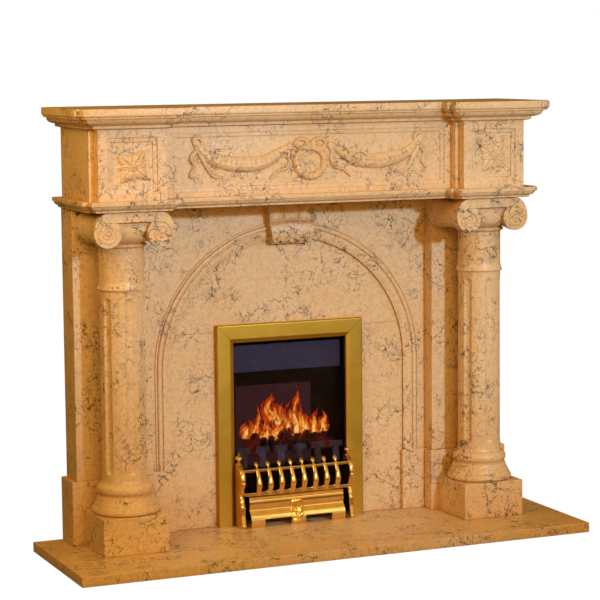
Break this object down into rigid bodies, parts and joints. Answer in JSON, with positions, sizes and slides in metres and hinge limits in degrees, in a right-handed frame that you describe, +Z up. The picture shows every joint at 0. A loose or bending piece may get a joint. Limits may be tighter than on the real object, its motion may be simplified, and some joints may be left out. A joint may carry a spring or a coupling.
{
  "type": "fireplace mantel",
  "caption": "Marble fireplace mantel with fluted columns, scroll capitals, arched inner panel, carved swag frieze and moulded shelf, with a slim brass-trimmed inset fire",
  "frame": {"origin": "on the floor under the middle of the hearth, halfway between the wall and the hearth's front edge", "axes": "+X to the right as seen from the room, +Y towards the wall, +Z up; the front faces -Y and the wall plane is Y = 0.228"},
  "size_m": [1.524, 0.456, 1.238],
  "materials": {
    "stone": "polished, peach to orange with fine dark veinlets",
    "satin_brass": "satin",
    "polished_brass": "polished",
    "fire_glass": "clear, smoke tinted",
    "black_metal": "matt heat-proof black"
  },
  "bodies": {
    "root": {"hearth": "stone", "back_panel_header": "stone", "back_panel_left": "stone", "back_panel_right": "stone", "arch_panel": "stone", "arch_plinth_left": "stone", "arch_plinth_right": "stone", "keystone": "stone", "pilaster_left": "stone", "pilaster_right": "stone", "pilaster_plinth_left": "stone", "pilaster_plinth_right": "stone", "column_plinth_left": "stone", "column_plinth_right": "stone", "column_base_left": "stone", "column_base_right": "stone", "column_shaft_left": "stone", "column_shaft_right": "stone", "capital_left": "stone", "capital_right": "stone", "lower_moulding": "stone", "frieze_center": "stone", "frieze_block_left": "stone", "frieze_block_right": "stone", "shelf": "stone", "trim_left": "satin_brass", "trim_right": "satin_brass", "trim_top": "satin_brass", "fire_glass": "fire_glass", "fire_back": "black_metal", "fret": "polished_brass", "ashpan_cover": "polished_brass"}
  },
  "joints": []
}
